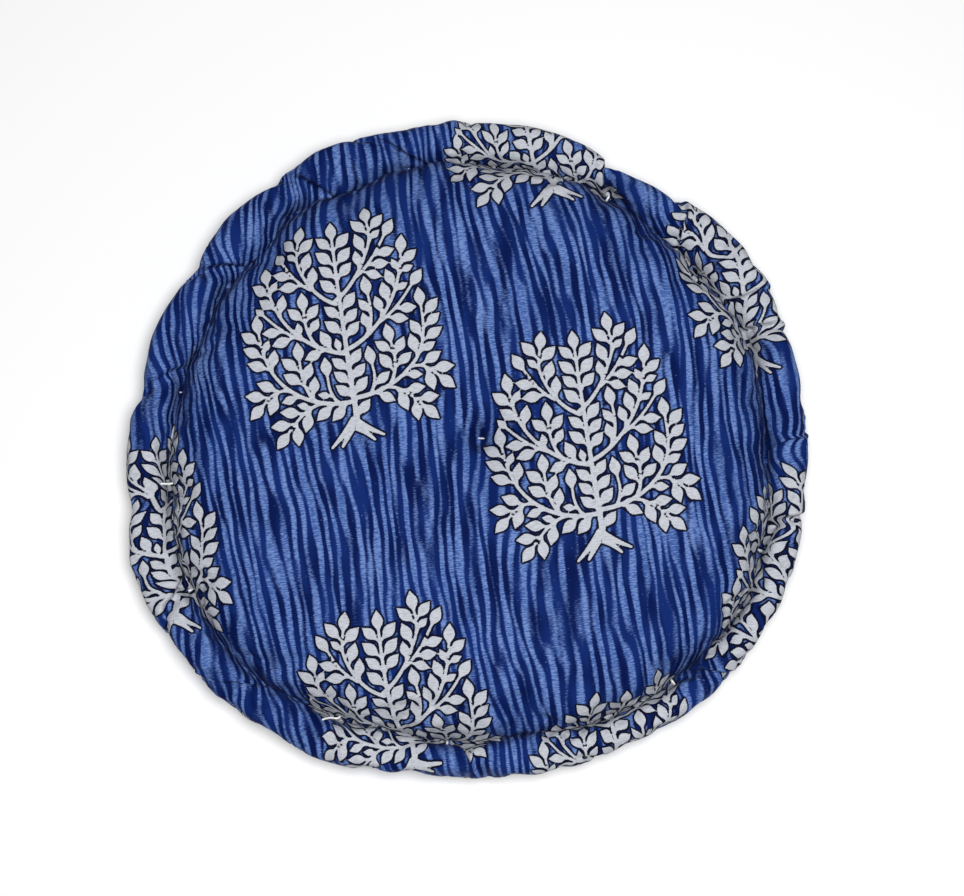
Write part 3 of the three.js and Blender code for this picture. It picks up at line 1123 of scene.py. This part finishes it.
# %% Numbers for the finish
def write_attributes(mesh):
    depth = mesh.attributes.new("print_depth", "FLOAT", "POINT")
    depth.data.foreach_set("value", depths.astype(np.float32))
    cloth = mesh.attributes.new("cloth_place", "FLOAT_VECTOR", "POINT")
    upright = cloth_places @ LEAN
    values = np.column_stack([upright, np.zeros(len(upright))])
    cloth.data.foreach_set("vector", values.astype(np.float32).ravel())


write_attributes(cover_mesh)
cover_mesh.shade_smooth()
unit = normals / np.maximum(np.linalg.norm(normals, axis=1, keepdims=True), 1e-9)
cover_mesh.normals_split_custom_set_from_vertices(unit.tolist())
cover = bpy.data.objects.new("cover", cover_mesh)
bpy.context.scene.collection.objects.link(cover)

# %% [markdown]
# ## The finish of the cloth
# The ground is a dark royal blue with lighter stripes along the warp, drawn like wood grain: they
# wander, part and join. Waves that are pushed about by noise do this. The light stripes are slightly
# ribbed and silky, a few pale slubs show, and the print has a dark rim.

# %% Small helpers for node materials
class Finish:
    """Adds nodes to a material, one call a node, so that a finish reads from top to bottom."""

    def __init__(self, name):
        self.material = bpy.data.materials.new(name)
        self.material.use_nodes = True
        self.nodes = self.material.node_tree.nodes
        self.links = self.material.node_tree.links
        self.shader = next(node for node in self.nodes if node.type == "BSDF_PRINCIPLED")

    def feed(self, socket, value):
        if isinstance(value, bpy.types.NodeSocket):
            self.links.new(value, socket)
        elif value is not None:
            socket.default_value = value

    def attribute(self, name, output):
        node = self.nodes.new("ShaderNodeAttribute")
        node.attribute_name = name
        return node.outputs[output]

    def maths(self, operation, a, b=None, c=None):
        node = self.nodes.new("ShaderNodeMath")
        node.operation = operation
        for socket, value in zip(node.inputs, (a, b, c)):
            self.feed(socket, value)
        return node.outputs[0]

    def vector(self, x, y, z=0.0):
        node = self.nodes.new("ShaderNodeCombineXYZ")
        for socket, value in zip(node.inputs, (x, y, z)):
            self.feed(socket, value)
        return node.outputs[0]

    def noise(self, place, scale=1.0, fine=0.0, rough=0.5):
        node = self.nodes.new("ShaderNodeTexNoise")
        self.feed(node.inputs["Vector"], place)
        node.inputs["Scale"].default_value = scale
        node.inputs["Detail"].default_value = fine
        node.inputs["Roughness"].default_value = rough
        return node.outputs["Fac"]

    def step(self, value, low, high, to_low=0.0, to_high=1.0):
        node = self.nodes.new("ShaderNodeMapRange")
        node.interpolation_type = "SMOOTHSTEP"
        for socket, number in zip(node.inputs, (value, low, high, to_low, to_high)):
            self.feed(socket, number)
        return node.outputs[0]

    def mix(self, share, a, b, kind="MIX"):
        node = self.nodes.new("ShaderNodeMix")
        node.data_type = "RGBA"
        node.blend_type = kind
        self.feed(node.inputs["Factor"], share)
        self.feed(node.inputs[6], a)
        self.feed(node.inputs[7], b)
        return node.outputs[2]

    def bump(self, height, strength, distance):
        node = self.nodes.new("ShaderNodeBump")
        node.inputs["Strength"].default_value = strength
        node.inputs["Distance"].default_value = distance
        self.feed(node.inputs["Height"], height)
        return node.outputs[0]


# %% Printed cotton
NAVY = (0.0011, 0.0068, 0.062, 1)
DEEP_BLUE = (0.0045, 0.019, 0.126, 1)
SOFT_BLUE = (0.038, 0.087, 0.287, 1)
LIGHT_BLUE = (0.138, 0.222, 0.480, 1)
SLUB = (0.34, 0.43, 0.70, 1)
RIM_BLACK = (0.0025, 0.0035, 0.016, 1)
SILVER = (0.50, 0.52, 0.57, 1)
SILVER_SHADE = (0.37, 0.385, 0.43, 1)
STRIPE_PERIOD = 5.4
# How far each noise pushes the stripes sideways, and the size of its patches across and along
WANDERS = ((34, 90, 170), (9, 17, 62), (3.4, 5.5, 19))


def printed_cotton():
    finish = Finish("printed_cotton")
    place = finish.attribute("cloth_place", "Vector")
    split = finish.nodes.new("ShaderNodeSeparateXYZ")
    finish.feed(split.inputs[0], place)
    x, y = split.outputs[0], split.outputs[1]

    def stretched(across, along, shift=0.0):
        return finish.vector(finish.maths("DIVIDE", x, across), finish.maths("DIVIDE", y, along), shift)

    bent = x
    for number, (push, across, along) in enumerate(WANDERS):
        patch = finish.noise(stretched(across, along, number * 5.0))
        bent = finish.maths("MULTIPLY_ADD", patch, push, bent)
    wave = finish.maths("SINE", finish.maths("MULTIPLY", bent, 2 * math.pi / STRIPE_PERIOD))
    forks = finish.maths("SUBTRACT", finish.noise(stretched(4.2, 40, 23)), 0.5)
    ragged = finish.maths("SUBTRACT", finish.noise(stretched(1.8, 0.6, 27), fine=1.0), 0.5)
    height = finish.maths("MULTIPLY_ADD", wave, 0.5, finish.maths("MULTIPLY", forks, 2.3))
    height = finish.maths("MULTIPLY_ADD", ragged, 0.9, height)
    stripe = finish.step(height, -0.22, 0.52)

    ribs = finish.noise(stretched(3.0, 0.6, 11), fine=1.0)
    cloudy = finish.noise(stretched(9, 30, 5), fine=1.0)
    streaks = finish.noise(stretched(3.5, 42, 31), fine=1.0)
    dark = finish.mix(finish.step(cloudy, 0.35, 0.65), NAVY, DEEP_BLUE)
    paleness = finish.maths("MULTIPLY_ADD", finish.maths("SUBTRACT", ribs, 0.5), 2.8, streaks)
    light = finish.mix(finish.step(paleness, 0.16, 0.84), SOFT_BLUE, LIGHT_BLUE)
    ground = finish.mix(stripe, dark, light)
    slub = finish.step(finish.noise(stretched(1.6, 0.5, 17)), 0.82, 0.88)
    ground = finish.mix(finish.maths("MULTIPLY", slub, 0.35), ground, SLUB)

    threads = finish.maths("SUBTRACT", finish.noise(stretched(0.5, 0.5, 29)), 0.5)
    depth = finish.maths("MULTIPLY_ADD", threads, 0.45, finish.attribute("print_depth", "Fac"))
    rim = finish.step(depth, -1.5, -0.85)
    silver = finish.step(depth, -0.2, 0.0)
    printed = finish.mix(finish.step(ribs, 0.25, 0.7), SILVER_SHADE, SILVER)
    colour = finish.mix(rim, ground, RIM_BLACK)
    colour = finish.mix(silver, colour, printed)
    finish.feed(finish.shader.inputs["Base Color"], colour)
    rough = finish.maths("MULTIPLY_ADD", stripe, -0.10, 0.72)
    finish.feed(finish.shader.inputs["Roughness"], rough)
    finish.shader.inputs["Specular IOR Level"].default_value = 0.035
    finish.shader.inputs["Sheen Weight"].default_value = 0.01
    finish.shader.inputs["Sheen Roughness"].default_value = 0.4

    weft = finish.maths("SINE", finish.maths("MULTIPLY", y, 2 * math.pi / 0.75))
    warp = finish.maths("SINE", finish.maths("MULTIPLY", x, 2 * math.pi / 0.45))
    weave = finish.maths("MULTIPLY_ADD", warp, 0.35, weft)
    weave = finish.maths("MULTIPLY_ADD", ribs, 2.0, weave)
    weave = finish.maths("MULTIPLY_ADD", silver, 0.6, weave)
    finish.feed(finish.shader.inputs["Normal"], finish.bump(weave, 0.35, 0.0001))
    return finish.material


cover_mesh.materials.append(printed_cotton())
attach(cover, "root")
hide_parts("cushion")

# %% [markdown]
# ## The threads
# The stitches are made with a thick undyed cotton thread of three plies, almost white. Most of each
# stitch lies deep in the channel, and two long ones on the left and at the bottom reach out over the
# roll and the crown. Each is three thin tubes wound around one path, which follows the cloth. On the
# underside all of them are short.

# %% Path of a stitch
THREAD_PLY = 0.36
THREAD_TWIST = 2.6
THREAD_SAG = 1.2
THREAD_BITE = 1.5
THREAD_PROUD, THREAD_SUNK = 0.45, -0.5
THREADS = table("angle lean inward outward", [
    (   21,  12, 0.8, 0.8),
    (   38,  -8, 0.8, 0.8),
    (   61,   6, 0.8, 0.8),
    (   84, -10, 0.8, 0.8),
    (  102,   8, 0.8, 0.8),
    (  126,  -5, 0.8, 0.8),
    (  146,  10, 0.8, 0.8),
    (  169,   4, 0.8, 0.8),
    (187.6,   0,  12,  13),
    (207.5,  -6, 0.8, 0.8),
    (243.8, -20,   9,  14),
    (  266,  -8, 0.8, 0.8),
    (  297,   9, 0.8, 0.8),
    (  311,  -4, 0.8, 0.8),
    (  328,   8, 0.8, 0.8),
    (340.5,  -7, 0.8, 0.8),
    (357.5,   5, 0.8, 0.8),
])


def surface_at(sheet, sheet_normals, angle, reach):
    flat = placed(np.atleast_1d(angle), np.atleast_1d(reach), np.zeros(np.size(angle)))[:, :2]
    return lift(sheet, flat), lift(sheet_normals, flat)


def stitch_path(row, sheet, sheet_normals, reach, side, count=28):
    """Across the channel, pulled straight like a string between where it enters and leaves."""
    share = np.linspace(0, 1, count)
    length = row["inward"] + row["outward"]
    along = (share - 0.5) * length * math.tan(math.radians(row["lean"]))
    middle = np.interp(row["angle"], ANGLES, reach, period=360)
    angle = row["angle"] + np.degrees(along / middle)
    place, normal = surface_at(sheet, sheet_normals, angle, middle - row["inward"] + share * length)
    sink = np.sin(np.pi * share)[:, None]
    taut = place[0] + share[:, None] * (place[-1] - place[0])
    taut[:, 2:3] -= side * THREAD_SAG * sink
    path = np.where(side * taut[:, 2:3] > side * place[:, 2:3], taut, place)
    above = np.minimum(1, 6 * sink)
    rise = THREAD_PROUD if length > 5 else THREAD_SUNK
    path += normal * (rise * above - THREAD_BITE * (1 - above))
    for _ in range(3):
        path[1:-1] = (path[:-2] + path[1:-1] * 2 + path[2:]) / 4
    return path


def ply_tubes(path, sides=6):
    """Three plies wound around a path, as closed tubes."""
    tangent = np.gradient(path, axis=0)
    tangent /= np.linalg.norm(tangent, axis=1, keepdims=True)
    first = np.cross(tangent, [0.3, 0.5, 0.81])
    first /= np.linalg.norm(first, axis=1, keepdims=True)
    second = np.cross(tangent, first)
    way = np.concatenate([[0], np.cumsum(np.linalg.norm(np.diff(path, axis=0), axis=1))])
    points, faces = [], []
    for ply in range(3):
        phase = way / THREAD_TWIST * 2 * np.pi + ply * 2 * np.pi / 3
        offset = np.cos(phase)[:, None] * first + np.sin(phase)[:, None] * second
        middle = path + 0.95 * THREAD_PLY * offset
        start = len(points)
        for k in range(len(path)):
            for side in range(sides):
                turned = 2 * np.pi * side / sides
                spoke = math.cos(turned) * first[k] + math.sin(turned) * second[k]
                points.append(middle[k] + 0.8 * THREAD_PLY * spoke)
        for k in range(len(path) - 1):
            for side in range(sides):
                a, b = start + k * sides + side, start + k * sides + (side + 1) % sides
                faces.append((a, b, b + sides, a + sides))
        faces.append(tuple(start + side for side in range(sides))[::-1])
        faces.append(tuple(start + (len(path) - 1) * sides + side for side in range(sides)))
    return points, faces


def mesh_piece(name, points, faces, material):
    mesh = bpy.data.meshes.new(name)
    mesh.from_pydata((np.array(points) * MM).tolist(), [], faces)
    mesh.shade_smooth()
    mesh.materials.append(material)
    piece = bpy.data.objects.new(name, mesh)
    bpy.context.scene.collection.objects.link(piece)
    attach(piece, "root")
    return piece


# %% Thread finish and the stitches
def cotton_thread():
    finish = Finish("cotton_thread")
    coordinates = finish.nodes.new("ShaderNodeTexCoord")
    fuzz = finish.noise(coordinates.outputs["Object"], scale=900, fine=2.0)
    colour = finish.mix(finish.step(fuzz, 0.3, 0.7), (0.66, 0.66, 0.66, 1), (0.92, 0.92, 0.93, 1))
    finish.feed(finish.shader.inputs["Base Color"], colour)
    finish.shader.inputs["Roughness"].default_value = 0.85
    finish.feed(finish.shader.inputs["Normal"], finish.bump(fuzz, 0.5, 0.0002))
    return finish.material


thread = cotton_thread()
faces_of_cover = {
    "top": (top_sheet, top_normals, channel_reach, 1),
    "under": (low_sheet, low_normals, low_reach, -1),
}
for number, row in enumerate(THREADS):
    for face, surface in faces_of_cover.items():
        shown = row if face == "top" else {**row, "inward": 0.8, "outward": 0.8}
        stitch_points, stitch_faces = ply_tubes(stitch_path(shown, *surface))
        mesh_piece(f"stitch_{number + 1}_{face}", stitch_points, stitch_faces, thread)
print(len(THREADS), "stitches in the channel, each seen on both faces")

# %% [markdown]
# The middle stitch is short and lies across the bottom of its dimple, on both faces.

# %% Middle stitch
MIDDLE_STITCH = {"off_centre": 1.5, "half_length": 2.0, "half_drop": 0.4, "sunk": 0.1}


def tuft_stitch(sheet, sheet_normals, name):
    share = np.linspace(-1, 1, 15)
    flat = np.stack([TUFT["x"] + MIDDLE_STITCH["off_centre"] + MIDDLE_STITCH["half_length"] * share,
                     TUFT["y"] + MIDDLE_STITCH["off_centre"] - MIDDLE_STITCH["half_drop"] * share], 1)
    depth = MIDDLE_STITCH["sunk"] + THREAD_BITE * np.abs(share[:, None]) ** 6
    path = lift(sheet, flat) - lift(sheet_normals, flat) * depth
    tube_points, tube_faces = ply_tubes(path)
    return mesh_piece(name, tube_points, tube_faces, thread)


tuft_stitch(top_sheet, top_normals, "middle_stitch_top")
tuft_stitch(low_sheet, low_normals, "middle_stitch_under")

# %% [markdown]
# ## Floor and light
# The cushion lies on a pale, almost white floor. In the photograph the print is equally bright nearly
# everywhere and every slope is darker than the flat cloth, so the light comes from above, very slightly
# from the lower right. One large soft lamp hangs there, and a dim pale room fills the shadows.

# %% Floor, world and lamps
FLOOR_HALF = 3.0
LAMP_PLACE = (0.1, -0.15, 1.6)
LAMP_SIZE = 0.7
LAMP_POWER = 30.8
ROOM_LIGHT = 0.09


def add_floor():
    mesh = bpy.data.meshes.new("floor")
    half = FLOOR_HALF
    corners = [(-half, -half, 0), (half, -half, 0), (half, half, 0), (-half, half, 0)]
    mesh.from_pydata(corners, [], [(0, 1, 2, 3)])
    floor = bpy.data.objects.new("floor", mesh)
    floor.location.z = -0.0002
    bpy.context.scene.collection.objects.link(floor)
    finish = Finish("pale_floor")
    finish.shader.inputs["Base Color"].default_value = (0.86, 0.86, 0.86, 1)
    finish.shader.inputs["Roughness"].default_value = 0.9
    mesh.materials.append(finish.material)
    return floor


def add_lamp(name, place, aim, size, power):
    data = bpy.data.lights.new(name, "AREA")
    data.shape = "DISK"
    data.size = size
    data.energy = power
    lamp = bpy.data.objects.new(name, data)
    lamp.location = place
    lamp.rotation_euler = (Vector(aim) - Vector(place)).to_track_quat("-Z", "Y").to_euler()
    bpy.context.scene.collection.objects.link(lamp)
    return lamp


def add_world(strength):
    world = bpy.data.worlds.new("studio")
    world.use_nodes = True
    background = world.node_tree.nodes["Background"]
    background.inputs["Color"].default_value = (1, 1, 1, 1)
    background.inputs["Strength"].default_value = strength
    bpy.context.scene.world = world


add_floor()
add_world(ROOM_LIGHT)
add_lamp("key", LAMP_PLACE, (0, 0, 0), LAMP_SIZE, LAMP_POWER)
bpy.context.scene.view_settings.view_transform = "Standard"
